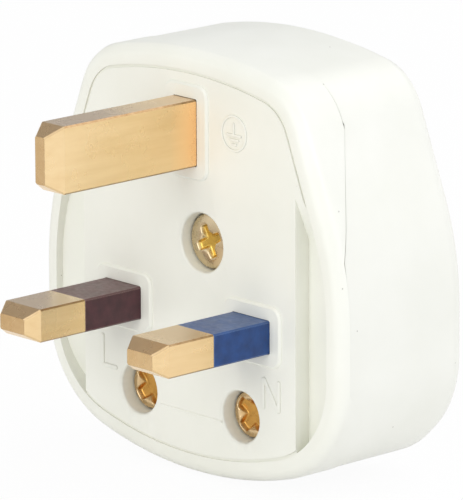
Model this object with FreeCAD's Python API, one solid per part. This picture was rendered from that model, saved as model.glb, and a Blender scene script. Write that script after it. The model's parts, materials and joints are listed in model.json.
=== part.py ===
# A rewirable three-pin mains plug with flat blades, a fuse and a cord grip.
# Frame: Y = 0 is the pin face and the pins point to -Y, Z = 0 is the line of the two lower pins,
# X = 0 is the earth pin, and +Z points to the earth pin. Sizes are in millimetres.
import FreeCAD
import Part
import math
import os

Vec = FreeCAD.Vector

# Pins
earth_pin_width = 4.0
earth_pin_height = 8.0
earth_pin_length = 22.73
earth_tip_length = 2.05
earth_tip_inset = 1.2
line_pin_width = 6.35
line_pin_height = 4.0
line_pin_length = 17.7
line_tip_length = 1.75
line_tip_inset = 1.05
line_pin_spacing = 22.23
earth_pin_rise = 22.23
pin_edge_bevel = 0.18
pin_fit = 0.05

# Sleeves moulded round the necks of the two lower pins
sleeve_length = 9.1
sleeve_root = 3.0
sleeve_wall = 0.55

# Outline of the body, seen on the pin face
body_top = 31.9
body_half_width = 25.9
widest_height = 2.0
top_radius = 63.0
bottom_radius = 55.0
side_radius = 36.0
flank_angle = 21.5
top_corner_radius = 8.2
bottom_corner_radius = 13.8

# Shells
body_depth = 21.4
parting_depth = 6.7
parting_gap = 0.25
face_thickness = 4.0
wall = 2.2
back_thickness = 2.2
front_edge_radius = 1.5
rear_edge_radius = 3.0
soft_edge_share = 0.73
cover_step = 0.1
lip_height = 1.5
lip_thickness = 0.9
lip_gap = 0.1

# Side lobes, where the cover reaches forward into a rebate in the base
lobe_top = 25.0
lobe_upper_bend = 10.5
lobe_lower_bend = -5.0
lobe_bottom = -12.5
lobe_front = 1.7
lobe_thickness = 1.2

# Pin face: rim line, side pockets and the collars round the pins
rim_width = 2.5
groove_width = 0.35
groove_depth = 0.4
pocket_chord = 18.3
pocket_inner_depth = 2.15
pocket_outer_depth = 1.0
pocket_ramp_start = 12.0
pocket_ramp_end = 17.2
collar_margin = 1.7
collar_height = 0.35
collar_corner = 1.5
collar_edge = 0.25
hole_edge = 0.35

# Cover screw with its washer and its threaded insert
cover_screw_x = 2.3
cover_screw_z = 9.1
cover_hole_diameter = 7.0
cover_head_diameter = 6.6
cover_head_height = 2.2
cover_head_recess = 1.1
cover_shank_diameter = 3.5
cover_screw_length = 11.0
cover_boss_diameter = 10.0
cover_boss_height = 4.0
washer_diameter = 8.0
washer_thickness = 0.8
washer_clearance = 0.2
insert_diameter = 5.6
insert_length = 6.0
insert_wall = 1.7

# Cord grip
grip_screw_x = 8.85
grip_below_fuse = 6.3
grip_to_bottom = 8.7
grip_hole_diameter = 6.1
grip_head_diameter = 5.6
grip_head_height = 1.9
grip_head_recess = 1.5
grip_shank_diameter = 3.0
grip_boss_diameter = 9.0
grip_boss_height = 3.0
grip_bar_overhang = 4.0
grip_bar_width = 6.4
grip_bar_thickness = 3.6
grip_bar_depth = 12.0
grip_nut_flats = 5.5
grip_nut_height = 2.4
grip_nut_pocket = 1.4
grip_screw_stand_out = 0.6
saddle_half_length = 6.0
saddle_height = 3.0
cord_hole_radius = 4.25
cord_hole_depth = 9.5

# Screw recesses and shank clearance
shank_clearance = 0.2
thread_fit = 0.05
head_bevel_share = 4
cross_arm_width = 0.9
cross_span_share = 0.62
cross_depth = 1.2
slot_width = 0.8
slot_depth = 0.9

# Terminals
terminal_head_width = 9.0
terminal_head_length = 8.0
earth_head_height = 9.2
neutral_head_height = 8.0
wire_hole_diameter = 3.2
wire_hole_setback = 4.6
terminal_shank_diameter = 3.5
terminal_screw_head_diameter = 5.4
terminal_screw_head_height = 1.8
live_head_rise = 4.2
live_head_length = 2.2
live_terminal_width = 6.0
live_terminal_height = 4.4
live_terminal_length = 5.8
terminal_wall_gap = 0.6

# Cartridge fuse and its two clips
fuse_length = 25.4
fuse_diameter = 6.3
fuse_cap_length = 6.0
fuse_cap_wall = 0.4
clip_thickness = 0.6
clip_fit = 0.05
clip_length = 5.0
clip_opening = 4.2
clip_plate_width = 6.2
clip_terminal_gap = 0.7

# Ribs inside the shells
rib_thickness = 1.2
base_rib_height = 7.0
base_rib_gap = 0.5
hold_down_gap = 0.2
hold_down_inset = 0.4
fuse_keeper_gap = 0.3

# Places worked out from the sizes above
live_x = -line_pin_spacing / 2
neutral_x = line_pin_spacing / 2
earth_z = earth_pin_rise
cover_seat = cover_head_recess + cover_head_height
cover_boss_end = face_thickness + cover_boss_height
cover_post_front = cover_boss_end + washer_thickness + washer_clearance
grip_seat = grip_head_recess + grip_head_height
grip_boss_end = face_thickness + grip_boss_height
grip_nut_front = grip_bar_depth + grip_bar_thickness - grip_nut_pocket
head_back = face_thickness + terminal_head_length
live_head_back = face_thickness + live_head_length
fuse_radius = fuse_diameter / 2
fuse_y = live_head_back + clip_thickness + clip_fit + fuse_radius
cover_inside = body_depth - back_thickness
far = 200.0


def box(x0, x1, y0, y1, z0, z1):
    """A block between two corners."""
    return Part.makeBox(x1 - x0, y1 - y0, z1 - z0, Vec(x0, y0, z0))


def rod(x, z, diameter, y0, y1):
    """A round bar along Y."""
    return Part.makeCylinder(diameter / 2, y1 - y0, Vec(x, y0, z), Vec(0, 1, 0))


def rod_up(x, y, diameter, z0, z1):
    """A round bar along Z."""
    return Part.makeCylinder(diameter / 2, z1 - z0, Vec(x, y, z0), Vec(0, 0, 1))


def edges_at(shape, y):
    """The edges of a shape that lie in the plane Y = y."""
    return [e for e in shape.Edges if abs(e.BoundBox.YMin - y) < 1e-4 and abs(e.BoundBox.YMax - y) < 1e-4]


def edges_along_y(shape):
    """The straight edges of a shape that run along Y."""
    return [e for e in shape.Edges if e.BoundBox.XLength < 1e-4 and e.BoundBox.ZLength < 1e-4]


def soft_block(x0, x1, y0, y1, z0, z1, radius):
    """A block with its four edges along Y rounded."""
    block = box(x0, x1, y0, y1, z0, z1)
    return block.makeFillet(radius, edges_along_y(block))


def soften(shape, y, inward, radius):
    """Ease the edges in the plane Y = y with three narrow bevels that together take up the radius."""
    middle = radius * soft_edge_share
    shape = shape.makeChamfer(middle, edges_at(shape, y))
    shape = shape.makeChamfer(radius - middle, edges_at(shape, y))
    return shape.makeChamfer(radius - middle, edges_at(shape, y + inward * middle))


def around(x, z, width, height):
    """The limits of a rectangle centred on a point of the pin face."""
    return x - width / 2, x + width / 2, z - height / 2, z + height / 2


def arc_points(centre, radius, start, end):
    """Start, middle and end of an arc, with its angles in degrees from +X to +Z."""
    angles = [math.radians(a) for a in (start, (start + end) / 2, end)]
    return [(centre[0] + radius * math.cos(a), centre[1] + radius * math.sin(a)) for a in angles]


def upper_arcs(inset):
    """Arcs of the right half of the body outline, from the top centre down to its widest height."""
    top_centre = (0.0, body_top - top_radius)
    side_centre = (body_half_width - side_radius, widest_height)
    flank = math.radians(flank_angle)
    normal = (math.cos(flank), math.sin(flank))
    along = (-normal[1], normal[0])
    # The top corner's centre lies on a line inside the flank, tangent to the top arc.
    start = [side_centre[i] + (side_radius - top_corner_radius) * normal[i] - top_centre[i] for i in (0, 1)]
    b = start[0] * along[0] + start[1] * along[1]
    c = start[0] ** 2 + start[1] ** 2 - (top_radius - top_corner_radius) ** 2
    run = -b + math.sqrt(b * b - c)
    top_corner = [top_centre[i] + start[i] + run * along[i] for i in (0, 1)]
    top_angle = math.degrees(math.atan2(top_corner[1] - top_centre[1], top_corner[0]))
    return [
        arc_points(top_centre, top_radius - inset, 90.0, top_angle),
        arc_points(top_corner, top_corner_radius - inset, top_angle, flank_angle),
        arc_points(side_centre, side_radius - inset, flank_angle, 0.0),
    ]


def lower_arcs(inset):
    """Arcs of the right half of the body outline, from the end of its straight side to the bottom centre."""
    bottom_centre = (0.0, body_bottom + bottom_radius)
    corner_x = body_half_width - bottom_corner_radius
    reach = bottom_radius - bottom_corner_radius
    corner_z = bottom_centre[1] - math.sqrt(reach * reach - corner_x * corner_x)
    bottom_angle = math.degrees(math.atan2(corner_z - bottom_centre[1], corner_x))
    return [
        arc_points((corner_x, corner_z), bottom_corner_radius - inset, 0.0, bottom_angle),
        arc_points(bottom_centre, bottom_radius - inset, bottom_angle, -90.0),
    ]


def closed_face(runs, y):
    """A flat face at depth y bounded by arcs and corner points, with straight lines between them."""
    edges = []
    last = Vec(runs[-1][-1][0], y, runs[-1][-1][1])
    for points in runs:
        places = [Vec(x, y, z) for x, z in points]
        if last.distanceToPoint(places[0]) > 1e-6:
            edges.append(Part.LineSegment(last, places[0]).toShape())
        if len(places) == 3:
            edges.append(Part.Arc(*places).toShape())
        last = places[-1]
    return Part.Face(Part.Wire(Part.__sortEdges__(edges)))


def headroom(x, inset):
    """How high a point at a distance x from the middle can be, inside the outline drawn in by inset."""
    face = closed_face(upper_arcs(inset) + [[(0.0, widest_height)]], 0)
    upright = Part.LineSegment(Vec(x, 0, widest_height), Vec(x, 0, far)).toShape()
    return face.common(upright).BoundBox.ZMax


# Places that follow from the outline: the live terminal fits under the flank, the fuse hangs below it,
# the cord grip lies below the fuse, and the body ends below the cord grip.
terminal_top = headroom(line_pin_spacing / 2 + live_terminal_width / 2,
                        wall + lip_gap + lip_thickness + terminal_wall_gap)
fuse_high = terminal_top - live_terminal_height - clip_terminal_gap
fuse_low = fuse_high - fuse_length
grip_screw_z = fuse_low - grip_below_fuse
body_bottom = grip_screw_z - grip_to_bottom


def outline_face(inset, y):
    """The body outline, drawn in by inset, as a flat face at depth y."""
    arcs = upper_arcs(inset) + lower_arcs(inset)
    mirrored = [[(-x, z) for x, z in reversed(points)] for points in reversed(arcs)]
    return closed_face(arcs + mirrored, y)


def slab(inset, y0, y1):
    """The body outline, drawn in by inset, extruded from one depth to another."""
    return outline_face(inset, y0).extrude(Vec(0, y1 - y0, 0))


def profile_across(points):
    """A side-view profile of (depth, height) points, extruded right across the body."""
    corners = [Vec(-far, y, z) for y, z in points]
    face = Part.Face(Part.makePolygon(corners + corners[:1]))
    return face.extrude(Vec(2 * far, 0, 0))


def side_lobes(outer_inset, inner_inset, forward):
    """The stretches of side wall that the cover owns, in front of the main parting."""
    front = lobe_front - forward
    profile = profile_across([
        (parting_depth, lobe_top + forward), (front, lobe_upper_bend), (front, lobe_lower_bend),
        (parting_depth, lobe_bottom - forward),
    ])
    ring = slab(outer_inset, 0, parting_depth).cut(slab(inner_inset, 0, parting_depth))
    return ring.common(profile)


def cord_hole():
    """The round cord entry, cut half in the base and half in the cover."""
    return rod_up(0, cord_hole_depth, 2 * cord_hole_radius, -far, grip_screw_z + grip_bar_width / 2)


def side_pocket(side):
    """One D-shaped finger pocket: straight inner wall, floor that rises to the rim, ramp at its top."""
    ramp = profile_across([
        (0, -far), (pocket_inner_depth, -far), (pocket_inner_depth, pocket_ramp_start), (0, pocket_ramp_end),
    ])
    outer_x = body_half_width - rim_width
    plan = [
        (pocket_chord, 0), (pocket_chord, pocket_inner_depth), (outer_x, pocket_outer_depth), (outer_x, 0),
    ]
    corners = [Vec(side * x, y, body_bottom) for x, y in plan]
    wedge = Part.Face(Part.makePolygon(corners + corners[:1])).extrude(Vec(0, 0, body_top - body_bottom))
    return slab(rim_width, 0, pocket_inner_depth).common(ramp).common(wedge)


def screw_hole(x, z, diameter, seat):
    """A round screw hole from the pin face to the screw's seat, with a bevelled mouth."""
    mouth = Part.makeCone(diameter / 2 + hole_edge, diameter / 2, hole_edge, Vec(x, 0, z), Vec(0, 1, 0))
    return rod(x, z, diameter, 0, seat).fuse(mouth)


def pin_sections():
    """Centre, width and height of the three blades."""
    return [
        (0.0, earth_z, earth_pin_width, earth_pin_height),
        (live_x, 0.0, line_pin_width, line_pin_height),
        (neutral_x, 0.0, line_pin_width, line_pin_height),
    ]


def make_base():
    """The front moulding: pin face, skirt, locating lip, bosses, ribs and pin holes."""
    body = slab(0, 0, parting_depth - parting_gap)
    body = soften(body, 0, 1, front_edge_radius)
    body = body.cut(slab(wall, face_thickness, parting_depth))
    body = body.cut(side_lobes(0, lobe_thickness + lip_gap, parting_gap))

    lip_outer = wall + lip_gap
    lip = slab(lip_outer, face_thickness, parting_depth + lip_height)
    lip = lip.cut(slab(lip_outer + lip_thickness, face_thickness, parting_depth + lip_height))
    body = body.fuse(lip)

    body = body.fuse(rod(cover_screw_x, cover_screw_z, cover_boss_diameter, face_thickness, cover_boss_end))
    grip_low = grip_screw_z - grip_bar_width / 2
    grip_high = grip_screw_z + grip_bar_width / 2
    saddle_back = face_thickness + saddle_height
    body = body.fuse(box(-saddle_half_length, saddle_half_length, face_thickness, saddle_back,
                         grip_low, grip_high))
    for side in (-1, 1):
        x = side * grip_screw_x
        body = body.fuse(rod(x, grip_screw_z, grip_boss_diameter, face_thickness, grip_boss_end))

    # Barrier ribs stand on each side of the earth terminal.
    for side in (-1, 1):
        inner = terminal_head_width / 2 + base_rib_gap
        x0, x1 = sorted((side * inner, side * (inner + rib_thickness)))
        body = body.fuse(box(x0, x1, face_thickness, face_thickness + base_rib_height,
                             earth_z - earth_head_height / 2, earth_z + earth_head_height / 2))

    # The upper fuse clip stands on a pedestal level with the live pin's head.
    x0, x1, z0, z1 = upper_plate_limits()
    body = body.fuse(box(x0, x1, face_thickness, live_head_back, z0, z1))

    groove = slab(rim_width, 0, groove_depth).cut(slab(rim_width + groove_width, 0, groove_depth))
    body = body.cut(groove)
    for side in (-1, 1):
        body = body.cut(side_pocket(side))

    for x, z, width, height in pin_sections():
        x0, x1, z0, z1 = around(x, z, width + 2 * collar_margin, height + 2 * collar_margin)
        collar = soft_block(x0, x1, -collar_height, face_thickness / 2, z0, z1, collar_corner)
        body = body.fuse(collar.makeChamfer(collar_edge, edges_at(collar, -collar_height)))
    for x, z, width, height in pin_sections():
        body = body.cut(bar(x, z, width + 2 * pin_fit, height + 2 * pin_fit, -collar_height, face_thickness))

    body = body.cut(screw_hole(cover_screw_x, cover_screw_z, cover_hole_diameter, cover_seat))
    shank_hole = cover_shank_diameter + 2 * shank_clearance
    body = body.cut(rod(cover_screw_x, cover_screw_z, shank_hole, 0, cover_boss_end))
    for side in (-1, 1):
        x = side * grip_screw_x
        body = body.cut(screw_hole(x, grip_screw_z, grip_hole_diameter, grip_seat))
        body = body.cut(rod(x, grip_screw_z, grip_shank_diameter + 2 * shank_clearance, 0, grip_boss_end))
    return body.cut(cord_hole()).removeSplitter()


def make_rear_cover():
    """The back shell: outer wall with side lobes, screw post, hold-down ribs and fuse keeper."""
    shell = slab(cover_step, parting_depth, body_depth)
    shell = soften(shell, body_depth, -1, rear_edge_radius)
    shell = shell.fuse(side_lobes(cover_step, lobe_thickness, 0))
    shell = shell.cut(slab(wall, parting_depth, cover_inside))

    shell = shell.fuse(rod(cover_screw_x, cover_screw_z, insert_diameter + 2 * insert_wall,
                           cover_post_front, cover_inside))
    shell = shell.cut(rod(cover_screw_x, cover_screw_z, insert_diameter,
                          cover_post_front, cover_post_front + insert_length))
    shell = shell.cut(rod(cover_screw_x, cover_screw_z, cover_shank_diameter + 2 * shank_clearance,
                          cover_post_front, cover_seat + cover_screw_length + shank_clearance))

    # Two ribs hold down each terminal head, one on each side of its screw.
    for x, z, height in ((0.0, earth_z, earth_head_height), (neutral_x, 0.0, neutral_head_height)):
        for side in (-1, 1):
            outer = x + side * (terminal_head_width / 2 - hold_down_inset)
            x0, x1 = sorted((outer, outer - side * rib_thickness))
            rib_front = head_back + hold_down_gap
            shell = shell.fuse(box(x0, x1, rib_front, cover_inside, z - height / 2, z + height / 2))

    # A cross rib keeps the fuse in its clips.
    middle = (fuse_low + fuse_high) / 2
    keeper = fuse_y + fuse_radius + fuse_keeper_gap
    shell = shell.fuse(box(live_x - fuse_radius, live_x + fuse_radius, keeper, cover_inside,
                           middle - rib_thickness / 2, middle + rib_thickness / 2))
    return shell.cut(cord_hole()).removeSplitter()


def section(x, z, width, height, y):
    """A flat pin's cross-section: a rectangle with slightly bevelled corners."""
    x0, x1, z0, z1 = around(x, z, width, height)
    b = pin_edge_bevel
    corners = [(x1 - b, z1), (x1, z1 - b), (x1, z0 + b), (x1 - b, z0),
               (x0 + b, z0), (x0, z0 + b), (x0, z1 - b), (x0 + b, z1)]
    return closed_face([[corner] for corner in corners], y)


def bar(x, z, width, height, y0, y1):
    """A length of pin stock along Y."""
    return section(x, z, width, height, y0).extrude(Vec(0, y1 - y0, 0))


def blade(x, z, width, height, length, tip_length, tip_inset, back):
    """A flat pin with a four-sided tapered tip, from the tip to a depth behind the pin face."""
    tip = Part.makeLoft([
        section(x, z, width, height, tip_length - length).OuterWire,
        section(x, z, width - 2 * tip_inset, height - 2 * tip_inset, -length).OuterWire,
    ], True, True)
    return bar(x, z, width, height, tip_length - length, back).fuse(tip)


def line_blade(x, back):
    """A lower pin: its blade is necked down where the sleeve is moulded on."""
    body = blade(x, 0, line_pin_width, line_pin_height, line_pin_length,
                 line_tip_length, line_tip_inset, back)
    return body.cut(sleeve(x))


def sleeve(x):
    """The insulating tube round a lower pin, flush with the blade."""
    outer = bar(x, 0, line_pin_width, line_pin_height, -sleeve_length, sleeve_root)
    neck_width = line_pin_width - 2 * sleeve_wall
    neck_height = line_pin_height - 2 * sleeve_wall
    neck = bar(x, 0, neck_width, neck_height, -sleeve_length, sleeve_root)
    return outer.cut(neck)


def terminal_head(x, z, height):
    """A pillar terminal behind the pin face: wire hole from below, screw hole from the back."""
    x0, x1, z0, z1 = around(x, z, terminal_head_width, height)
    head = box(x0, x1, face_thickness, head_back, z0, z1)
    head = head.cut(rod_up(x, head_back - wire_hole_setback, wire_hole_diameter, z0, z + wire_hole_diameter))
    thread_hole = terminal_shank_diameter + 2 * thread_fit
    return head.cut(rod(x, z, thread_hole, head_back - wire_hole_setback, head_back))


def make_earth_pin():
    """The long earth blade and its terminal head, one piece of brass."""
    pin = blade(0, earth_z, earth_pin_width, earth_pin_height, earth_pin_length,
                earth_tip_length, earth_tip_inset, face_thickness)
    return pin.fuse(terminal_head(0, earth_z, earth_head_height)).removeSplitter()


def make_neutral_pin():
    """The neutral blade and its terminal head, one piece of brass."""
    head = terminal_head(neutral_x, 0, neutral_head_height)
    return line_blade(neutral_x, face_thickness).fuse(head).removeSplitter()


def make_live_pin():
    """The live blade and the flat head that carries the lower fuse clip."""
    half = terminal_head_width / 2
    head = box(live_x - half, live_x + half, face_thickness, live_head_back, fuse_low, live_head_rise)
    return line_blade(live_x, face_thickness).fuse(head).removeSplitter()


def slotted_screw(x, z, seat, tip):
    """A terminal screw driven from the back: round head with a slot, shank towards the pin face."""
    top = seat + terminal_screw_head_height
    screw = rod(x, z, terminal_screw_head_diameter, seat, top)
    screw = screw.fuse(rod(x, z, terminal_shank_diameter, tip, seat))
    half = terminal_screw_head_diameter / 2
    return screw.cut(box(x - half, x + half, top - slot_depth, top, z - slot_width / 2, z + slot_width / 2))


def cross_screw(x, z, head_diameter, head_height, front, shank_diameter, tip):
    """A screw driven from the pin face: bevelled head with a cross recess, shank towards the back."""
    seat = front + head_height
    head = rod(x, z, head_diameter, front, seat)
    head = head.makeChamfer(head_height / head_bevel_share, edges_at(head, front))
    screw = head.fuse(rod(x, z, shank_diameter, seat, tip))
    half = head_diameter * cross_span_share / 2
    arm = cross_arm_width / 2
    cross = box(x - half, x + half, front, front + cross_depth, z - arm, z + arm)
    cross = cross.fuse(box(x - arm, x + arm, front, front + cross_depth, z - half, z + half))
    return screw.cut(cross)


def tube(x, z, outer, inner, y0, y1):
    """A round sleeve along Y."""
    return rod(x, z, outer, y0, y1).cut(rod(x, z, inner, y0, y1))


def make_cover_screw():
    """The screw that holds the cover, driven from the pin face."""
    tip = cover_seat + cover_screw_length
    return cross_screw(cover_screw_x, cover_screw_z, cover_head_diameter, cover_head_height,
                       cover_head_recess, cover_shank_diameter, tip)


def make_cover_screw_washer():
    """The washer that keeps the cover screw captive in the base."""
    return tube(cover_screw_x, cover_screw_z, washer_diameter, cover_shank_diameter + 2 * thread_fit,
                cover_boss_end, cover_boss_end + washer_thickness)


def make_cover_screw_insert():
    """The threaded brass insert in the cover's post."""
    return tube(cover_screw_x, cover_screw_z, insert_diameter, cover_shank_diameter + 2 * thread_fit,
                cover_post_front, cover_post_front + insert_length)


def make_grip_screw(side):
    """One cord grip screw, driven from the pin face."""
    tip = grip_nut_front + grip_nut_height + grip_screw_stand_out
    return cross_screw(side * grip_screw_x, grip_screw_z, grip_head_diameter, grip_head_height,
                       grip_head_recess, grip_shank_diameter, tip)


def hexagon(x, z, flats, y0, y1):
    """A hexagonal bar along Y."""
    radius = flats / math.sqrt(3)
    angles = [math.radians(60 * i) for i in range(7)]
    corners = [Vec(x + radius * math.cos(a), y0, z + radius * math.sin(a)) for a in angles]
    return Part.Face(Part.makePolygon(corners)).extrude(Vec(0, y1 - y0, 0))


def make_grip_nut(side):
    """One hexagon nut, let into the back of the cord grip bar."""
    x = side * grip_screw_x
    nut = hexagon(x, grip_screw_z, grip_nut_flats, grip_nut_front, grip_nut_front + grip_nut_height)
    return nut.cut(rod(x, grip_screw_z, grip_shank_diameter + 2 * thread_fit,
                       grip_nut_front, grip_nut_front + grip_nut_height))


def make_cord_grip_bar():
    """The bar that clamps the cord: round ends, an arched saddle and two nut pockets."""
    y0 = grip_bar_depth
    y1 = grip_bar_depth + grip_bar_thickness
    half_length = grip_screw_x + grip_bar_overhang
    half_width = grip_bar_width / 2
    bar = soft_block(-half_length, half_length, y0, y1, grip_screw_z - half_width, grip_screw_z + half_width,
                     half_width * 0.98)
    bar = bar.cut(rod_up(0, cord_hole_depth, 2 * cord_hole_radius, -far, far))
    for side in (-1, 1):
        x = side * grip_screw_x
        bar = bar.cut(rod(x, grip_screw_z, grip_shank_diameter + 2 * shank_clearance, y0, y1))
        bar = bar.cut(hexagon(x, grip_screw_z, grip_nut_flats, grip_nut_front, y1))
    return bar


def clip_ring(z0, z1):
    """The spring arms of a fuse clip: an open ring round the fuse cap."""
    inner = fuse_radius + clip_fit
    ring = rod_up(live_x, fuse_y, 2 * (inner + clip_thickness), z0, z1)
    ring = ring.cut(rod_up(live_x, fuse_y, 2 * inner, z0, z1))
    half = clip_opening / 2
    return ring.cut(box(live_x - half, live_x + half, fuse_y, fuse_y + far, z0, z1))


def clip(ring_low, plate_low, plate_high):
    """A fuse clip bent from strip: spring arms on a flat plate."""
    half = clip_plate_width / 2
    plate = box(live_x - half, live_x + half, live_head_back, live_head_back + clip_thickness,
                plate_low, plate_high)
    plate = plate.cut(rod_up(live_x, fuse_y, fuse_diameter + 2 * clip_fit, plate_low, plate_high))
    return plate.fuse(clip_ring(ring_low, ring_low + clip_length)).removeSplitter()


def upper_plate_limits():
    """The limits of the upper clip's plate, which runs on under the live terminal."""
    half = clip_plate_width / 2
    low = fuse_high - fuse_cap_length
    high = fuse_high + clip_terminal_gap + live_terminal_height
    return live_x - half, live_x + half, low, high


def make_lower_fuse_clip():
    """The fuse clip on the live pin."""
    middle = fuse_low + fuse_cap_length / 2
    return clip(middle - clip_length / 2, middle - fuse_cap_length / 2, middle + fuse_cap_length / 2)


def make_upper_fuse_clip():
    """The fuse clip that carries the live terminal."""
    low, high = upper_plate_limits()[2:]
    middle = fuse_high - fuse_cap_length / 2
    return clip(middle - clip_length / 2, low, high)


def live_terminal_limits():
    """The limits of the live terminal block, on the end of the upper clip's plate."""
    y0 = live_head_back + clip_thickness
    z0 = fuse_high + clip_terminal_gap
    half = live_terminal_width / 2
    return live_x - half, live_x + half, y0, y0 + live_terminal_length, z0, z0 + live_terminal_height


def make_live_terminal():
    """The live terminal block: wire hole from the side, screw hole from the back."""
    x0, x1, y0, y1, z0, z1 = live_terminal_limits()
    z = (z0 + z1) / 2
    wire_y = (y0 + y1) / 2
    block = box(x0, x1, y0, y1, z0, z1)
    wire = Part.makeCylinder(wire_hole_diameter / 2, x1 - live_x, Vec(live_x, wire_y, z), Vec(1, 0, 0))
    block = block.cut(wire)
    return block.cut(rod(live_x, z, terminal_shank_diameter + 2 * thread_fit, wire_y, y1))


def make_live_terminal_screw():
    """The screw of the live terminal."""
    y0, y1, z0, z1 = live_terminal_limits()[2:]
    return slotted_screw(live_x, (z0 + z1) / 2, y1, (y0 + y1) / 2)


def make_fuse_tube():
    """The ceramic barrel of the fuse, stepped down inside its caps."""
    inner = fuse_diameter - 2 * fuse_cap_wall
    barrel = rod_up(live_x, fuse_y, inner, fuse_low + fuse_cap_wall, fuse_high - fuse_cap_wall)
    between = rod_up(live_x, fuse_y, fuse_diameter, fuse_low + fuse_cap_length, fuse_high - fuse_cap_length)
    return barrel.fuse(between)


def fuse_cap(z0, z1, closed_low):
    """A pressed metal cap, closed at one end."""
    inner = fuse_diameter - 2 * fuse_cap_wall
    low = z0 + fuse_cap_wall if closed_low else z0
    high = z1 if closed_low else z1 - fuse_cap_wall
    return rod_up(live_x, fuse_y, fuse_diameter, z0, z1).cut(rod_up(live_x, fuse_y, inner, low, high))


def make_parts():
    """Every separate piece by name."""
    wire_depth = head_back - wire_hole_setback
    return {
        "base": make_base(),
        "rear_cover": make_rear_cover(),
        "earth_pin": make_earth_pin(),
        "neutral_pin": make_neutral_pin(),
        "live_pin": make_live_pin(),
        "neutral_sleeve": sleeve(neutral_x),
        "live_sleeve": sleeve(live_x),
        "earth_terminal_screw": slotted_screw(0, earth_z, head_back, wire_depth),
        "neutral_terminal_screw": slotted_screw(neutral_x, 0, head_back, wire_depth),
        "live_terminal": make_live_terminal(),
        "live_terminal_screw": make_live_terminal_screw(),
        "lower_fuse_clip": make_lower_fuse_clip(),
        "upper_fuse_clip": make_upper_fuse_clip(),
        "fuse_tube": make_fuse_tube(),
        "lower_fuse_cap": fuse_cap(fuse_low, fuse_low + fuse_cap_length, True),
        "upper_fuse_cap": fuse_cap(fuse_high - fuse_cap_length, fuse_high, False),
        "cover_screw": make_cover_screw(),
        "cover_screw_washer": make_cover_screw_washer(),
        "cover_screw_insert": make_cover_screw_insert(),
        "cord_grip_bar": make_cord_grip_bar(),
        "left_grip_screw": make_grip_screw(-1),
        "right_grip_screw": make_grip_screw(1),
        "left_grip_nut": make_grip_nut(-1),
        "right_grip_nut": make_grip_nut(1),
    }


os.makedirs("parts", exist_ok=True)
for name, shape in make_parts().items():
    solids = shape.Solids
    solid = solids[0] if len(solids) == 1 else Part.makeCompound(solids)
    solid.exportStep("parts/" + name + ".step")
    print(name, "solids", len(solids), "valid", solid.isValid(), "volume", round(solid.Volume, 2))
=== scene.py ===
# %% [markdown]
# # A three-pin mains plug
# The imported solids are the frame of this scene: two white shells, three brass pins, two sleeves, three
# screws, and inside them the terminals, the fuse and the cord grip, all in metres. This lesson gives
# every solid its finish, shades the moulded edges of the shells as soft ones, turns the three screws
# again with a finer cross recess and a thread, and adds the small moulded signs of the pin face.

# %% The frame
import bmesh
import bpy
import json
import math
import numpy as np
from mathutils import Matrix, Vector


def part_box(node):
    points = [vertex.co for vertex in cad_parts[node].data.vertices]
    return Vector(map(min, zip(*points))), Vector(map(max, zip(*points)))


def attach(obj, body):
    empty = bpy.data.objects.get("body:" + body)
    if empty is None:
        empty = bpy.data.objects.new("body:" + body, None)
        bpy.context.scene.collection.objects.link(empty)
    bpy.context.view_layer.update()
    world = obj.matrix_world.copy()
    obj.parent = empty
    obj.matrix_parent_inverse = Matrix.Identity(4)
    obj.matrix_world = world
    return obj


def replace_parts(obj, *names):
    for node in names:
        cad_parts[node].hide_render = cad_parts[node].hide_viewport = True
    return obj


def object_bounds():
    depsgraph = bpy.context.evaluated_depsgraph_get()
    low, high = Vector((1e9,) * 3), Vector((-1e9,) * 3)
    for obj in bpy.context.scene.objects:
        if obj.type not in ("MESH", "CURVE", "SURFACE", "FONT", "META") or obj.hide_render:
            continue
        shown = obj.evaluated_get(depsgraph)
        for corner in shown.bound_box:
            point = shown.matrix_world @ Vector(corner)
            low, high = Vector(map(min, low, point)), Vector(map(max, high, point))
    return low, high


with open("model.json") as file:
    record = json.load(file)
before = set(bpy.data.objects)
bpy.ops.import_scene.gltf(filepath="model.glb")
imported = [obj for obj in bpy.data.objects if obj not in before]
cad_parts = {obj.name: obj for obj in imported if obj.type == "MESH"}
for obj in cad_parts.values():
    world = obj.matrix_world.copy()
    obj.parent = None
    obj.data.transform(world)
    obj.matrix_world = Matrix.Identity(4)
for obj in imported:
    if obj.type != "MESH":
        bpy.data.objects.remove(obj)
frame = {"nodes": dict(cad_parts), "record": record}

solids = frame["nodes"]
cad_low, cad_high = [list(corner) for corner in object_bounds()]
print("solids in the frame:", len(solids))
print("box of the solids:", cad_low, cad_high)

# %% [markdown]
# ## The camera
# The plug is seen from its right front, a little from above, through a long lens, so that its edges stay
# nearly parallel. A tracking constraint could aim the camera, but it hides the small roll. Here the three
# axes of the camera are worked out from an azimuth, an elevation and that roll, and written into its
# matrix.

# %% Camera
AZIMUTH = math.radians(47.131)
ELEVATION = math.radians(14.016)
ROLL = math.radians(-0.237)
CAMERA_PLACE = np.array([0.485603, -0.443764, 0.172043])
FOCAL_PIXELS = 5790.0
FRAME_HEIGHT = 500.0
SENSOR = 36.0


def camera_axes(azimuth, elevation, roll):
    """Right, up and back: back points at the camera, right is level, and the roll turns right towards up."""
    level = math.cos(elevation)
    back = np.array([math.sin(azimuth) * level, -math.cos(azimuth) * level, math.sin(elevation)])
    right = np.array([math.cos(azimuth), math.sin(azimuth), 0.0])
    up = np.cross(back, right)
    c = math.cos(roll)
    s = math.sin(roll)
    return c * right + s * up, c * up - s * right, back


def placed(axes, place):
    """The matrix that has these three axes as its columns and stands at this place."""
    matrix = np.eye(4)
    matrix[:3, :3] = np.stack(axes, axis=1)
    matrix[:3, 3] = place
    return Matrix(matrix.tolist())


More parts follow.
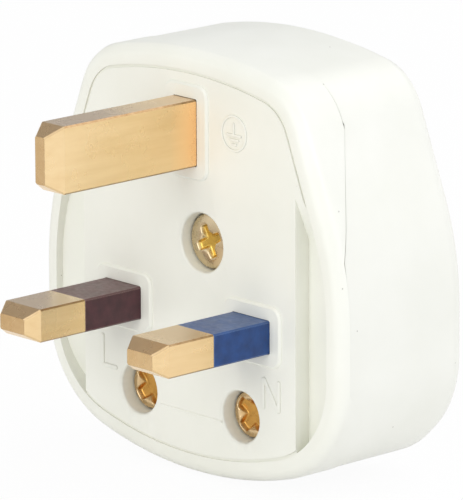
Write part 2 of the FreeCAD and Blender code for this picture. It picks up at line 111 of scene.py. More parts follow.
lens = bpy.data.cameras.new("camera")
lens.sensor_width = SENSOR
lens.lens = FOCAL_PIXELS * SENSOR / FRAME_HEIGHT
lens.clip_start = 0.01
lens.clip_end = 20.0
camera = bpy.data.objects.new("camera", lens)
bpy.context.collection.objects.link(camera)
camera.matrix_world = placed(camera_axes(AZIMUTH, ELEVATION, ROLL), CAMERA_PLACE)
bpy.context.scene.camera = camera
print("lens:", round(lens.lens, 1), "mm")

# %% [markdown]
# ## Tools for finishes
# A finish is one shader with a few noises: a wide one varies the colour in clouds, a fine one varies the
# gloss and makes the relief. Image textures could do this too, but noise has no seams and no fixed
# sharpness. All of it reads Object coordinates in metres, so a grain of a tenth of a millimetre has that
# size on every piece.

# %% Colour and gloss
REFRACTION = 1.5


def new_finish(name, metallic=0.0):
    """A material, its node tree and its shader."""
    finish = bpy.data.materials.new(name)
    finish.use_nodes = True
    shader = finish.node_tree.nodes["Principled BSDF"]
    shader.inputs["Metallic"].default_value = metallic
    shader.inputs["IOR"].default_value = REFRACTION
    return finish, finish.node_tree, shader


def grain(tree, size, stretch=(1.0, 1.0, 1.0), detail=3.0):
    """Noise with spots about `size` metres across; an axis with a small stretch draws them out along it."""
    place = tree.nodes.new("ShaderNodeTexCoord")
    fit = tree.nodes.new("ShaderNodeMapping")
    fit.inputs["Scale"].default_value = stretch
    noise = tree.nodes.new("ShaderNodeTexNoise")
    noise.inputs["Scale"].default_value = 1.0 / size
    noise.inputs["Detail"].default_value = detail
    tree.links.new(place.outputs["Object"], fit.inputs["Vector"])
    tree.links.new(fit.outputs["Vector"], noise.inputs["Vector"])
    return noise.outputs["Fac"]


def ramp(tree, factor, low, high, start=0.3, end=0.7):
    """A colour that goes from low to high while the factor goes from start to end."""
    node = tree.nodes.new("ShaderNodeValToRGB")
    for element, position, colour in zip(node.color_ramp.elements, (start, end), (low, high)):
        element.position = position
        element.color = (*colour, 1.0)
    tree.links.new(factor, node.inputs["Fac"])
    return node.outputs["Color"]


def span(tree, factor, low, high, start=0.25, end=0.75):
    """A number that goes from low to high while the factor goes from start to end."""
    node = tree.nodes.new("ShaderNodeMapRange")
    node.inputs["From Min"].default_value = start
    node.inputs["From Max"].default_value = end
    node.inputs["To Min"].default_value = low
    node.inputs["To Max"].default_value = high
    tree.links.new(factor, node.inputs["Value"])
    return node.outputs["Result"]


def parts_of(tree, source):
    """X, Y and Z of a point of the surface: of its place for "Object", of its direction for "Normal"."""
    place = tree.nodes.new("ShaderNodeTexCoord")
    parts = tree.nodes.new("ShaderNodeSeparateXYZ")
    tree.links.new(place.outputs[source], parts.inputs["Vector"])
    return parts.outputs


# %% Relief and layers
CLOUD = 0.005


def relief(tree, shader, layers):
    """Bumps laid over each other: each layer is a height between 0 and 1 and its depth in metres."""
    under = None
    for height, depth in layers:
        node = tree.nodes.new("ShaderNodeBump")
        node.inputs["Strength"].default_value = 1.0
        node.inputs["Distance"].default_value = depth
        tree.links.new(height, node.inputs["Height"])
        if under is not None:
            tree.links.new(under, node.inputs["Normal"])
        under = node.outputs["Normal"]
    tree.links.new(under, shader.inputs["Normal"])


def layer(tree, factor, below, above):
    """The colour below where the factor is 0 and the colour above where it is 1."""
    node = tree.nodes.new("ShaderNodeMix")
    node.data_type = "RGBA"
    tree.links.new(factor, node.inputs["Factor"])
    for value, socket in ((below, node.inputs[6]), (above, node.inputs[7])):
        if isinstance(value, tuple):
            socket.default_value = (*value, 1.0)
        else:
            tree.links.new(value, socket)
    return node.outputs[2]


def plain_finish(name, low, high, rough, grain_size, depth, metallic=0.0):
    """Two close colours in soft clouds, a range of gloss, and a fine relief of the given depth."""
    finish, tree, shader = new_finish(name, metallic)
    fine = grain(tree, grain_size)
    tree.links.new(ramp(tree, grain(tree, CLOUD), low, high), shader.inputs["Base Color"])
    tree.links.new(span(tree, fine, *rough), shader.inputs["Roughness"])
    relief(tree, shader, [(fine, depth)])
    return finish


# %% [markdown]
# ## The white plastic
# The shells are moulded from a warm white thermoset. Its skin is satin: a soft gloss, a grain finer than the
# eye can part, and broad shallow waves where the wall shrank over the ribs behind it. Shade is painted into
# the corners as a darker colour, most in the joint of the shells and in other narrow slots, and a few dark
# specks lie in the resin. The specks are the cores of random cells, and the painted shade follows the corners
# and slots that the ambient occlusion node finds.
# The raised signs get a little painted shade along their feet.

# %% White plastic
SKIN_GRAIN = 0.00012
SKIN_DEPTH = 0.000002
WHITE_CLOUD = 0.009
WHITE_LOW = (0.855, 0.862, 0.775)
WHITE_HIGH = (0.890, 0.895, 0.815)
WAVE = 0.010
WAVE_DEPTH = 0.00002
# The first two colours are painted shade for corners and narrow slots.
CORNER_SHADE = (0.62, 0.60, 0.50)
SLOT_SHADE = (0.42, 0.40, 0.33)
SPECK = (0.42, 0.40, 0.34)
# Painted shade for the feet of raised strokes.
FOOT_SHADE = (0.60, 0.60, 0.51)


def speckle(tree, cell, core):
    """One in the cores of random cells `cell` metres across, fading over the last two fifths of a core.
    The core is a share of the cell."""
    place = tree.nodes.new("ShaderNodeTexCoord")
    cells = tree.nodes.new("ShaderNodeTexVoronoi")
    cells.inputs["Scale"].default_value = 1.0 / cell
    tree.links.new(place.outputs["Object"], cells.inputs["Vector"])
    return span(tree, cells.outputs["Distance"], 1.0, 0.0, start=0.6 * core, end=core)


def corner_shade(tree, reach, most, deep, clear):
    """A share of painted shade where the skin sees other skin within `reach` metres. It grows from zero to
    `most` while the open part of the view falls from `clear` to `deep`."""
    hollow = tree.nodes.new("ShaderNodeAmbientOcclusion")
    hollow.samples = 8
    hollow.inputs["Distance"].default_value = reach
    return span(tree, hollow.outputs["AO"], most, 0.0, start=deep, end=clear)


def stroke_foot(tree, rise):
    """Four fifths at the foot of a raised stroke and zero on its top, `rise` metres before the pin face."""
    return span(tree, parts_of(tree, "Object")["Y"], 0.8, 0.0, start=-0.15 * rise, end=-0.95 * rise)


def white_plastic(name, stroke_rise=None):
    """The white plastic; raised strokes of the given rise also get a little painted shade at their feet."""
    finish, tree, shader = new_finish(name)
    fine = grain(tree, SKIN_GRAIN)
    clouds = ramp(tree, grain(tree, WHITE_CLOUD), WHITE_LOW, WHITE_HIGH)
    # Painted shade: the colour darkens where the ambient occlusion node finds corners and narrow slots.
    corner_share = corner_shade(tree, reach=0.0010, most=0.08, deep=0.35, clear=0.85)
    slot_share = corner_shade(tree, reach=0.0006, most=0.6, deep=0.08, clear=0.30)
    corner_shaded = layer(tree, slot_share, layer(tree, corner_share, clouds, CORNER_SHADE), SLOT_SHADE)
    colour = layer(tree, speckle(tree, cell=0.0040, core=0.026), corner_shaded, SPECK)
    if stroke_rise is not None:
        # Painted shade at the feet of the raised strokes.
        colour = layer(tree, stroke_foot(tree, stroke_rise), colour, FOOT_SHADE)
    tree.links.new(colour, shader.inputs["Base Color"])
    tree.links.new(span(tree, fine, 0.34, 0.46), shader.inputs["Roughness"])
    relief(tree, shader, [(grain(tree, WAVE, detail=1.0), WAVE_DEPTH), (fine, SKIN_DEPTH)])
    print(name, "nodes:", len(tree.nodes))
    return finish


LETTER_RISE = 0.00016
housing_plastic = white_plastic("housing_plastic")
sign_plastic = white_plastic("sign_plastic", LETTER_RISE)

# %% [markdown]
# ## The other mouldings
# The sleeves are pushed on to the pins: thin coloured plastic with a slightly mottled skin. Their edges are
# painted paler, as wear where sockets rub and as a painted highlight, and the faces that lie upwards are
# painted paler as painted light from above. To find an edge, the bevel node gives the direction that a
# rounded copy of the surface would have, and the finish asks how far it turns from the true one. The grip
# bar, the fibre washer and the fuse barrel lie inside. They need less care, but each has its own grain.

# %% Edges and upper faces, for painted light and wear
def looks_up(tree, most):
    """Zero on level and lower faces, and `most` where the surface looks straight up."""
    return span(tree, parts_of(tree, "Normal")["Z"], 0.0, most, start=0.4, end=0.9)


def times(tree, first, second):
    """The product of two numbers."""
    product = tree.nodes.new("ShaderNodeMath")
    product.operation = "MULTIPLY"
    tree.links.new(first, product.inputs[0])
    tree.links.new(second, product.inputs[1])
    return product.outputs["Value"]


def uneven(tree, size, least):
    """A share from `least` to one, which makes a line weaker in stretches about `size` metres long."""
    return span(tree, grain(tree, size), least, 1.0, start=0.35, end=0.6)


def edge_share(tree, reach, most):
    """A share that grows to `most` along edges, stronger in some stretches.
    Edge = how far the cosine between the surface and its copy, rounded by `reach` metres, falls below one."""
    rounded = tree.nodes.new("ShaderNodeBevel")
    rounded.samples = 8
    rounded.inputs["Radius"].default_value = reach
    true = tree.nodes.new("ShaderNodeNewGeometry")
    cosine = tree.nodes.new("ShaderNodeVectorMath")
    cosine.operation = "DOT_PRODUCT"
    tree.links.new(rounded.outputs["Normal"], cosine.inputs[0])
    tree.links.new(true.outputs["True Normal"], cosine.inputs[1])
    edge = span(tree, cosine.outputs["Value"], most, 0.0, start=0.80, end=0.99)
    return times(tree, edge, uneven(tree, size=0.0007, least=0.5))


# %% Sleeves and inner mouldings
MOTTLE = 0.0016
DENT = 0.0006
DENT_DEPTH = 0.000018


def sleeve_finish(name, low, high, pale):
    """Coloured plastic in clouds of two close tones, with paler edges for wear and painted highlight, painted
    light on upper faces, and shallow dents.
    """
    finish, tree, shader = new_finish(name)
    fine = grain(tree, SKIN_GRAIN)
    dents = grain(tree, DENT, detail=2.0)
    clouds = ramp(tree, grain(tree, MOTTLE), low, high)
    # Painted light: upper faces are paler, and edges are paler as wear and painted highlight.
    lit_top = layer(tree, looks_up(tree, most=0.12), clouds, pale)
    worn = layer(tree, edge_share(tree, reach=0.0003, most=0.5), lit_top, pale)
    tree.links.new(worn, shader.inputs["Base Color"])
    tree.links.new(span(tree, dents, 0.30, 0.46), shader.inputs["Roughness"])
    relief(tree, shader, [(dents, DENT_DEPTH), (fine, SKIN_DEPTH)])
    return finish


brown_plastic = sleeve_finish(
    "brown_plastic", low=(0.042, 0.009, 0.014), high=(0.078, 0.019, 0.027), pale=(0.58, 0.40, 0.35))
blue_plastic = sleeve_finish(
    "blue_plastic", low=(0.002, 0.032, 0.140), high=(0.006, 0.054, 0.215), pale=(0.26, 0.42, 0.70))
grip_plastic = plain_finish(
    "grip_plastic", low=(0.70, 0.70, 0.64), high=(0.78, 0.78, 0.72), rough=(0.40, 0.52),
    grain_size=0.00015, depth=3e-6)
washer_fibre = plain_finish(
    "washer_fibre", low=(0.30, 0.07, 0.05), high=(0.42, 0.12, 0.08), rough=(0.70, 0.85),
    grain_size=0.0003, depth=8e-6)
fuse_ceramic = plain_finish(
    "fuse_ceramic", low=(0.78, 0.76, 0.68), high=(0.86, 0.84, 0.78), rough=(0.30, 0.40),
    grain_size=0.0003, depth=2e-6)
mouldings = (brown_plastic, blue_plastic, grip_plastic, washer_fibre, fuse_ceramic)
print("mouldings:", [finish.name for finish in mouldings])

# %% [markdown]
# ## The brass of the pins
# The pins are cut from drawn brass bar. The drawing leaves hair-fine lines along the bar, which are noise
# drawn out along Y. Sockets rub the front of a pin bright, and the last millimetres before the foot stay
# orange. The faces that lie upwards are painted darker as a painted reflection, the edges get a painted dark
# reflection line, and the narrow bevels along the bar are painted brown as a painted reflection.

# %% Pin brass
LINE_GRAIN = 0.0006
LINE_DEPTH = 0.0000006
STREAK = 0.0008
GLOSS_CLOUD = 0.004
RUBBED = ((0.89, 0.65, 0.35), (0.95, 0.72, 0.41))
HANDLED = ((0.82, 0.58, 0.30), (0.88, 0.64, 0.35))
ORANGE_FOOT = (0.98, 0.63, 0.31)
# The next three colours are painted reflection: darker upper faces, dark edges and brown bevels.
TOP_REFLECTION_PAINT = (0.70, 0.54, 0.36)
EDGE_DARK_PAINT = (0.34, 0.20, 0.09)
BEVEL_REFLECTION_PAINT = (0.34, 0.21, 0.10)


def along_pin(tree, start, end):
    """Zero at the distance `start` in front of the pin face and one at `end`, in metres."""
    return span(tree, parts_of(tree, "Object")["Y"], 0.0, 1.0, -start, -end)


def long_bevel(tree, most):
    """Up to `most` on the bevels along a pin and zero on its flat faces.
    Bevel = the square of X times Z of the surface's direction, a quarter where both are alike."""
    direction = parts_of(tree, "Normal")
    product = times(tree, direction["X"], direction["Z"])
    bevel = span(tree, times(tree, product, product), 0.0, most, start=0.05, end=0.2)
    return times(tree, bevel, uneven(tree, size=0.0009, least=0.8))


pin_brass, tree, shader = new_finish("pin_brass", metallic=1.0)
lines = grain(tree, LINE_GRAIN, stretch=(1.0, 0.05, 1.0), detail=1.0)
streaks = grain(tree, STREAK, stretch=(1.0, 0.10, 1.0))
rubbed = ramp(tree, streaks, *RUBBED)
handled = ramp(tree, streaks, *HANDLED)
body = layer(tree, along_pin(tree, start=0.007, end=0.021), handled, rubbed)
warm = layer(tree, along_pin(tree, start=0.0015, end=0.0045), ORANGE_FOOT, body)
# Painted reflection: upper faces darker, edges dark and bevels along the pin brown.
top_painted = layer(tree, looks_up(tree, most=0.8), warm, TOP_REFLECTION_PAINT)
edge_painted = layer(tree, edge_share(tree, reach=0.00020, most=0.9), top_painted, EDGE_DARK_PAINT)
bevel_painted = layer(tree, long_bevel(tree, most=1.0), edge_painted, BEVEL_REFLECTION_PAINT)
tree.links.new(bevel_painted, shader.inputs["Base Color"])
tree.links.new(span(tree, grain(tree, GLOSS_CLOUD), 0.24, 0.32), shader.inputs["Roughness"])
relief(tree, shader, [(lines, LINE_DEPTH)])
print("pin brass nodes:", len(tree.nodes))

# %% [markdown]
# ## The other metals
# The screws are plated pale champagne, and the recess is painted a deeper gold as painted shade. The mesh of
# a screw carries a number at each point that says how deep in the recess it lies, and the finish mixes its
# two golds by that number. Terminals, clips, fuse caps and nuts lie inside.

# %% Screw gold and inner metals
HEAD_SHADE = 0.88
RECESS_SHADE = 0.80
WEAR = 0.0009
PIT = 0.0004
PIT_DEPTH = 0.000004


def shaded(tree, factor, colour, shade):
    """A colour that goes from its shaded tone to its full one with the factor."""
    return ramp(tree, factor, tuple(shade * value for value in colour), colour)


def screw_finish(name, head, recess):
    """Plated metal that goes from its head colour to its recess colour, a painted shade, with the mesh's own
    recess number.
    """
    finish, tree, shader = new_finish(name, metallic=1.0)
    deep = tree.nodes.new("ShaderNodeAttribute")
    deep.attribute_name = "recess"
    worn = grain(tree, WEAR)
    outside = shaded(tree, worn, head, HEAD_SHADE)
    # Painted shade: the recess gets a deeper, darker gold.
    inside = shaded(tree, worn, recess, RECESS_SHADE)
    tree.links.new(layer(tree, deep.outputs["Fac"], outside, inside), shader.inputs["Base Color"])
    tree.links.new(span(tree, worn, 0.22, 0.34), shader.inputs["Roughness"])
    relief(tree, shader, [(grain(tree, PIT), PIT_DEPTH)])
    return finish


cover_screw_gold = screw_finish("cover_screw_gold", head=(0.74, 0.61, 0.40), recess=(0.82, 0.55, 0.12))
grip_screw_gold = screw_finish("grip_screw_gold", head=(0.72, 0.53, 0.30), recess=(0.62, 0.33, 0.08))
terminal_brass = plain_finish(
    "terminal_brass", low=(0.70, 0.50, 0.24), high=(0.80, 0.60, 0.32), rough=(0.28, 0.40),
    grain_size=0.0002, depth=2e-6, metallic=1.0)
clip_bronze = plain_finish(
    "clip_bronze", low=(0.60, 0.38, 0.20), high=(0.72, 0.48, 0.28), rough=(0.26, 0.38),
    grain_size=0.0002, depth=2e-6, metallic=1.0)
cap_nickel = plain_finish(
    "cap_nickel", low=(0.62, 0.60, 0.56), high=(0.72, 0.70, 0.66), rough=(0.18, 0.30),
    grain_size=0.0002, depth=2e-6, metallic=1.0)
nut_zinc = plain_finish(
    "nut_zinc", low=(0.52, 0.52, 0.50), high=(0.64, 0.64, 0.62), rough=(0.28, 0.42),
    grain_size=0.0002, depth=3e-6, metallic=1.0)
metals = (cover_screw_gold, grip_screw_gold, terminal_brass, clip_bronze, cap_nickel, nut_zinc)
print("metals:", [finish.name for finish in metals])

# %% Finishes on the solids
finish_of_slot = {
    "housing_white": housing_plastic, "grip_bar_plastic": grip_plastic, "sleeve_brown": brown_plastic,
    "sleeve_blue": blue_plastic, "washer_fibre": washer_fibre, "fuse_ceramic": fuse_ceramic,
    "pin_brass": pin_brass, "screw_brass": cover_screw_gold, "terminal_screw_brass": terminal_brass,
    "clip_bronze": clip_bronze, "fuse_cap_metal": cap_nickel, "nut_steel": nut_zinc,
}
for entry in frame["record"]["subparts"]:
    solid = solids[entry["node"]]
    solid.data.materials.clear()
    solid.data.materials.append(finish_of_slot[entry["material_slot"]])

# %% [markdown]
# ## Soft edges on the shells
# A mould is polished, so the edges of the shells are rounded and their light runs on without a line. The
# solids have three narrow bevels there. More bevels could round them further, but shading is enough at
# this size: each shell gets a merged copy whose corners take the mean direction of the faces round them,
# weighed by area. Edges of the pockets and holes are steeper than the limit and stay sharp, apart from
# the worn lips of the three screw holes.

# %% Shells
MERGE = 1e-6
SHARP = math.radians(27)


def add_piece(name, mesh, finish):
    """Put a mesh into the scene as a piece of the plug, with its finish."""
    mesh.materials.clear()
    mesh.materials.append(finish)
    piece = bpy.data.objects.new(name, mesh)
    bpy.context.collection.objects.link(piece)
    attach(piece, "root")
    print(name, "faces:", len(mesh.polygons))
    return piece


def shade_smooth(mesh, sharp):
    """Smooth shading on every face, broken along edges that are steeper than the sharp angle."""
    mesh.polygons.foreach_set("use_smooth", np.ones(len(mesh.polygons), dtype=bool))
    mesh.set_sharp_from_angle(angle=sharp)


def sharp_edges(mesh, sharp):
    """Which edges break the shading at this sharp angle, as an array of true and false."""
    shade_smooth(mesh, sharp)
    broken = np.zeros(len(mesh.edges), dtype=bool)
    mesh.edges.foreach_get("use_edge_sharp", broken)
    return broken


# %% Lips of the screw holes
SCREWS = ("cover_screw", "left_grip_screw", "right_grip_screw")
LIP = math.radians(60)
LIP_REACH = 0.0056
LIP_DEPTH = 0.002


def points_of(mesh):
    """The points of a mesh, one row each."""
    flat = np.zeros(len(mesh.vertices) * 3)
    mesh.vertices.foreach_get("co", flat)
    return flat.reshape(-1, 3)


def near_lip(mesh):
    """Edges at the pin face whose middle lies within the reach of a screw's axis."""
    ends = np.zeros(len(mesh.edges) * 2, dtype=int)
    mesh.edges.foreach_get("vertices", ends)
    middle = points_of(mesh)[ends.reshape(-1, 2)].mean(axis=1)
    holes = np.array([np.mean(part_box(node), axis=0) for node in SCREWS])[:, [0, 2]]
    away = np.linalg.norm(middle[:, None, [0, 2]] - holes[None], axis=2)
    return (away < LIP_REACH).any(axis=1) & (middle[:, 1] < LIP_DEPTH)


# %% [markdown]
# ## Fine joints
# The two shells meet in a hairline, and the groove round the pin face is a shallow scratch. The solids keep
# a quarter of a millimetre of air between the shells, so that they never touch, and a deeper groove. Seen
# close, both would be dark slots. A bead of filler could hide them, but the copies can simply lie closer to
# each other: the front edge of the cover moves forward, least on the slanted upper ends of its side lobes,
# where the joint shows on the real plug, and the floor of the groove moves up.

# %% Joint and groove
PARTING = 0.0067
JOINT_MOVE = 0.00012
LOBE_HEIGHTS = [-0.0125, -0.0050, 0.0085, 0.0105, 0.0250]
LOBE_MOVES = [0.00013, 0.00019, 0.00019, 0.00007, -0.00003]
LOBE_CORNER = 0.0002
LOBE_STEP = 0.00001
GROOVE_FLOOR = 0.0004
GROOVE_SHALLOW = 0.00022


def hairline_joint(points):
    """Move the cover's front edge to -Y by one amount, and its side lobes by one that follows the height.
    A lobe is what lies in front of the parting plane, with the corners where it starts on that plane."""
    y = points[:, 1]
    height = points[:, 2]
    starts = np.array([LOBE_HEIGHTS[0], LOBE_HEIGHTS[-1]])
    corner = np.abs(height[:, None] - starts[None]).min(axis=1) < LOBE_CORNER
    lobe = corner | (y < PARTING - LOBE_STEP)
    move = np.where(lobe, np.interp(height, LOBE_HEIGHTS, LOBE_MOVES), JOINT_MOVE)
    points[:, 1] = np.where(y < PARTING + MERGE, y - move, y)
    return points


def shallow_groove(points):
    """Raise the floor of the groove round the pin face from its own depth to a shallower one."""
    floor = np.abs(points[:, 1] - GROOVE_FLOOR) < MERGE
    points[floor, 1] = GROOVE_SHALLOW
    return points


# %% Shell copies
def soft_shell(name, node, reshape):
    """A merged and slightly reshaped copy of a shell that stands for it, shaded softly over its bevels."""
    mesh = solids[node].data.copy()
    if "custom_normal" in mesh.attributes:
        mesh.attributes.remove(mesh.attributes["custom_normal"])
    work = bmesh.new()
    work.from_mesh(mesh)
    bmesh.ops.remove_doubles(work, verts=work.verts, dist=MERGE)
    work.to_mesh(mesh)
    work.free()
    mesh.vertices.foreach_set("co", reshape(points_of(mesh)).reshape(-1))
    mesh.update()
    broken = np.where(near_lip(mesh), sharp_edges(mesh, LIP), sharp_edges(mesh, SHARP))
    mesh.edges.foreach_set("use_edge_sharp", broken)
    piece = add_piece(name, mesh, housing_plastic)
    even = piece.modifiers.new("even_light", "WEIGHTED_NORMAL")
    even.keep_sharp = True
    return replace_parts(piece, node)


soft_shell("base_shell", "base", shallow_groove)
soft_shell("cover_shell", "rear_cover", hairline_joint)

# %% [markdown]
# ## Turned screws
# Each screw that shows in the pin face has a slightly domed head with a cross recess, a rounded rim and a
# thread. A lathe shape with a boolean cross could make it, but the cuts would leave ragged faces. Here
# the top of the head is a square sheet bent into a disc, with its lines along the arms of the cross, so
# that the walls of the recess follow the lines. The edge of the sheet runs on as rings: over the rim,
# under the head, down the threaded shank and to the tip.

# %% Head of a screw
LINE_STEPS = (4, 6, 7, 6, 4)
BOWL_REACH = 2.1
BOWL_EDGE = 1.2
BOWL_SHARE = 0.6
ARM_SLOPE = 0.45


def smooth_step(t):
    """Zero below 0, one above 1, and an S-shaped change between."""
    t = np.clip(t, 0.0, 1.0)
    return t * t * (3.0 - 2.0 * t)


def cross_lines(half_arm, reach, edge):
    """Places of the sheet's lines from -1 to 1, close together at the walls of the arms and at their ends."""
    stops = [0.0, half_arm - edge, half_arm + edge, reach - edge, reach + edge, 1.0]
    runs = [np.linspace(a, b, n, endpoint=False) for a, b, n in zip(stops[:-1], stops[1:], LINE_STEPS)]
    half = np.concatenate(runs + [[1.0]])
    return np.concatenate([-half[:0:-1], half])


def head_sheet(radius, dome, half_arm, reach, edge, depth, turn):
    """A disc with a cross recess, as a square sheet of (u, v) from -1 to 1.
    Disc: a = radius u sqrt(1 - v^2 / 2), b = radius v sqrt(1 - u^2 / 2), turned by the angle of the cross.
    Cross = 1 - (1 - arm along u)(1 - arm along v)(1 - share x bowl). An arm is an S-step across its wall
    times one at its end, and the bowl is an S-step round the middle, which rounds the inner corners.
    Depth = dome (r / radius)^2 + depth (1 - slope (distance along the arm / reach)^2) cross."""
    lines = cross_lines(half_arm, reach, edge)
    u, v = np.meshgrid(lines, lines, indexing="ij")
    a = radius * u * np.sqrt(1.0 - v * v / 2.0)
    b = radius * v * np.sqrt(1.0 - u * u / 2.0)
    wall_u, wall_v = [smooth_step((half_arm + edge - np.abs(t)) / (2.0 * edge)) for t in (u, v)]
    end_u, end_v = [smooth_step((reach + edge - np.abs(t)) / (2.0 * edge)) for t in (u, v)]
    bowl = smooth_step((BOWL_REACH * half_arm - np.hypot(u, v)) / (BOWL_EDGE * half_arm) + 0.5)
    cross = 1.0 - (1.0 - wall_u * end_v) * (1.0 - wall_v * end_u) * (1.0 - BOWL_SHARE * bowl)
    along = np.minimum(np.maximum(np.abs(u), np.abs(v)) / reach, 1.0)
    sink = dome * (a * a + b * b) / radius ** 2 + depth * (1.0 - ARM_SLOPE * along ** 2) * cross
    c = math.cos(turn)
    s = math.sin(turn)
    return np.stack([c * a - s * b, sink, s * a + c * b], -1), cross


# %% Shank of a screw
RIM_STEPS = 6
RINGS_PER_PITCH = 5.0
THREAD_START = 0.2
TIP_LENGTH = 0.4
TIP_RADIUS = 0.6


def rim_and_shank(edge_points, head_radius, head_height, shank_radius, pitch, length):
    """Rings that go on from the edge of the head, each at the angles of the edge points.
    Rim: a quarter circle from the edge to the full radius; then straight under the head to the shank.
    Thread radius = shank radius - half a pitch x |2 frac(y / pitch - angle / 2 pi) - 1|."""
    angle = np.arctan2(edge_points[:, 2], edge_points[:, 0])[None, :]
    start = np.linalg.norm(edge_points[0, [0, 2]])
    bevel = head_radius - start
    curve = np.linspace(0.0, np.pi / 2, RIM_STEPS + 1)[1:]
    radius = np.concatenate([start + bevel * np.sin(curve), [head_radius, shank_radius]])[:, None]
    rim = edge_points[0, 1] + bevel * (1.0 - np.cos(curve))
    depth = np.concatenate([rim, [head_height, head_height]])[:, None]
    thread_end = length - TIP_LENGTH * shank_radius
    along = np.arange(head_height + THREAD_START * pitch, thread_end, pitch / RINGS_PER_PITCH)[:, None]
    wave = np.abs(2.0 * ((along / pitch - angle / (2.0 * np.pi)) % 1.0) - 1.0)
    thread = shank_radius - 0.5 * pitch * wave
    tip = np.array([[TIP_RADIUS * shank_radius]])
    radius = np.concatenate([radius + 0.0 * angle, thread, tip + 0.0 * angle])
    depth = np.concatenate([depth, along, [[length]]]) + 0.0 * angle
    return np.stack([radius * np.cos(angle), depth, radius * np.sin(angle)], -1)


# %% [markdown]
# ## Joining the sheet and the rings
# The points of the sheet come first and the rings after them. The first ring is the edge of the sheet
# itself, walked round once, so no points are doubled. The last ring is closed by one flat face at the
# tip.

# %% Screw mesh
def squares(index, closed):
    """Faces of a grid of point numbers: every square of four neighbours, joined round where it is closed."""
    if closed:
        index = np.concatenate([index, index[:, :1]], axis=1)
    return np.stack([index[:-1, :-1], index[1:, :-1], index[1:, 1:], index[:-1, 1:]], -1).reshape(-1, 4)


def walk_round(index):
    """The point numbers on the edge of a square grid, once round."""
    return np.concatenate([index[:-1, 0], index[-1, :-1], index[:0:-1, -1], index[0, :0:-1]])


def outward(mesh):
    """Turn all faces of a closed mesh outwards."""
    work = bmesh.new()
    work.from_mesh(mesh)
    bmesh.ops.recalc_face_normals(work, faces=work.faces)
    work.to_mesh(mesh)
    work.free()


def screw_mesh(name, sheet, cross, rings):
    """One closed mesh of the head and the rings, with the recess number at every point."""
    index = np.arange(cross.size).reshape(cross.shape)
    later = cross.size + np.arange(rings.shape[0] * rings.shape[1]).reshape(rings.shape[:2])
    around = np.concatenate([walk_round(index)[None, :], later])
    faces = squares(index, False).tolist() + squares(around, True).tolist() + [later[-1].tolist()]
    mesh = bpy.data.meshes.new(name)
    mesh.from_pydata(np.concatenate([sheet.reshape(-1, 3), rings.reshape(-1, 3)]), [], faces)
    outward(mesh)
    number = np.concatenate([cross.reshape(-1), np.zeros(later.size)]).astype(np.float32)
    mesh.attributes.new("recess", "FLOAT", "POINT").data.foreach_set("value", number)
    return mesh


# %% Screws in their holes
FLAT_SHARE = 0.90
DOME_SHARE = 0.08
SCREW_SHARP = math.radians(60)
COVER_SIZES = {"head_radius": 0.0033, "head_height": 0.0022, "shank_radius": 0.00175, "pitch": 0.0006}
COVER_CROSS = {"half_arm": 0.18, "reach": 0.66, "edge": 0.06, "depth": 0.00070}
GRIP_SIZES = {"head_radius": 0.0028, "head_height": 0.0019, "shank_radius": 0.0015, "pitch": 0.0005}
GRIP_CROSS = {"half_arm": 0.34, "reach": 0.90, "edge": 0.07, "depth": 0.00100}


def set_screw(node, finish, sizes, cross_shape, turn_degrees):
    """Replace a plain screw by a turned one, on the same axis and with the same ends."""
    low, high = [np.array(corner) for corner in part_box(node)]
    middle = (low + high) / 2
    flat = FLAT_SHARE * sizes["head_radius"]
    dome = DOME_SHARE * sizes["head_radius"]
    sheet, cross = head_sheet(flat, dome, turn=math.radians(turn_degrees), **cross_shape)
    edge_points = sheet.reshape(-1, 3)[walk_round(np.arange(cross.size).reshape(cross.shape))]
    rings = rim_and_shank(edge_points, length=high[1] - low[1], **sizes)
    place = np.array([middle[0], low[1], middle[2]])
    mesh = screw_mesh(node + "_turned", sheet + place, cross, rings + place)
    shade_smooth(mesh, SCREW_SHARP)
    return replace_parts(add_piece(node + "_turned", mesh, finish), node)


set_screw("cover_screw", cover_screw_gold, COVER_SIZES, COVER_CROSS, turn_degrees=26.0)
set_screw("left_grip_screw", grip_screw_gold, GRIP_SIZES, GRIP_CROSS, turn_degrees=40.0)
set_screw("right_grip_screw", grip_screw_gold, GRIP_SIZES, GRIP_CROSS, turn_degrees=55.0)

# %% [markdown]
# ## Moulded signs
# The pin face has a letter below each lower pin, an earth sign beside the long pin, and a fine line
# between the two lower screws. They stand up from the face by a sixth of a millimetre or less, with flat
# tops and soft sides. A text object would give sharp letters with flat sides. Here each stroke is a low
# bead: one profile carried along a path.

# %% Bead surface
MILLIMETRE = 0.001
PROFILE_POINTS = 24
PROFILE_POWER = 3.0
FOOT_SINK = 0.2


def squarish(wave):
    """A sine or cosine bent so that a circle of it becomes the bead's profile."""
    return np.sign(wave) * np.abs(wave) ** (2.0 / PROFILE_POWER)


def bead(path, width, height, closed):
    """A raised stroke on the pin face along a path of (x, z) points.
    Profile: |across / half width|^3 + |out / height|^3 = 1, with its foot sunk by a fifth of the height.
    Near an open end the width falls as a quarter circle, and the height with it."""
    step = np.roll(path, -1, 0) - np.roll(path, 1, 0) if closed else np.gradient(path, axis=0)
    step = step / np.linalg.norm(step, axis=1, keepdims=True)
    side = np.stack([-step[:, 1], step[:, 0]], 1)
    run = np.concatenate([[0.0], np.cumsum(np.linalg.norm(np.diff(path, axis=0), axis=1))])
    edge = np.minimum(run, run[-1] - run) / (width / 2)
    size = np.ones(len(path)) if closed else np.sqrt(1.0 - (1.0 - np.clip(edge, 0.0, 1.0)) ** 2)
    angle = np.linspace(0.0, 2.0 * np.pi, PROFILE_POINTS, endpoint=False)[None, :]
    out = np.maximum(squarish(np.sin(angle)), -FOOT_SINK) * height * size[:, None]
    across = (squarish(np.cos(angle)) * width / 2 * size[:, None])[..., None] * side[:, None, :]
    flat = path[:, None, :] + across
    grid = np.stack([flat[..., 0], -out, flat[..., 1]], -1)
    return np.concatenate([grid, grid[:1]]) if closed else grid


